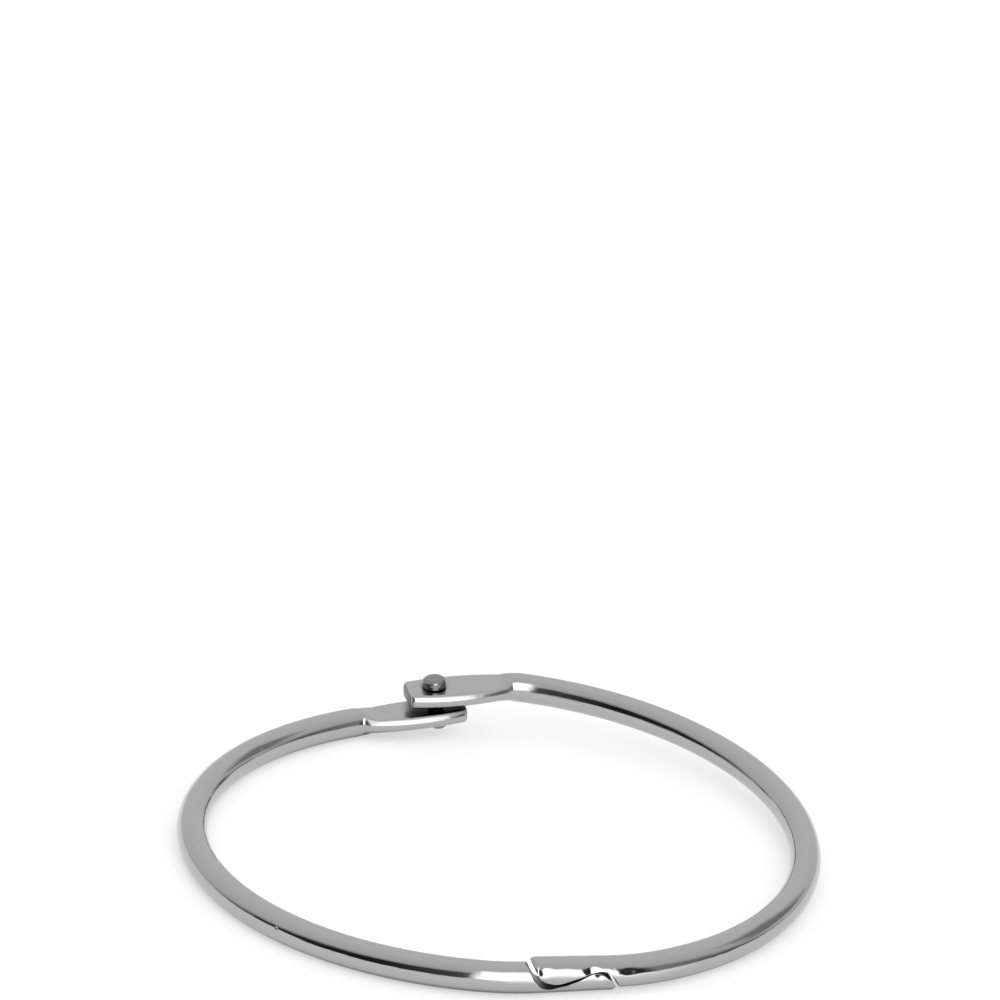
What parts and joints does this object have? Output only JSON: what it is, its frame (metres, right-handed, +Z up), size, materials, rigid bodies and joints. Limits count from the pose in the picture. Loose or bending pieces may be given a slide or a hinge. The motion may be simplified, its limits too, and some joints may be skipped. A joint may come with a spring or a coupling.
{
  "type": "binder ring",
  "caption": "Hinged round-wire binder ring that opens at an S-shaped hook, to hold punched sheets.",
  "frame": {"origin": "under the centre of the ring, on the surface it lies on", "axes": "+Z up, through the ring; +Y towards the hinge; -Y towards the hook"},
  "size_m": [0.0842, 0.0835, 0.0085],
  "materials": {
    "plated_wire": "bright nickel plating on steel wire, slightly pitted",
    "plated_rivet": "duller nickel plating on a peened steel rivet"
  },
  "bodies": {
    "left_half": {"left_half": "plated_wire"},
    "rivet": {"hinge_rivet": "plated_rivet"},
    "right_half": {"right_half": "plated_wire"}
  },
  "joints": [
    {"name": "hinge_swing", "type": "hinge", "parent": "left_half", "child": "rivet", "pos_m": [0.00013, 0.0387, 0.00298], "axis": [-0.0772, -0.028, 0.9966], "range_deg": [0, 150]},
    {"name": "unlatch_rock", "type": "hinge", "parent": "rivet", "child": "right_half", "pos_m": [-0.00009, 0.03862, 0.00592], "axis": [-0.997, 0.0022, -0.0771], "range_deg": [0, 1.2]}
  ]
}
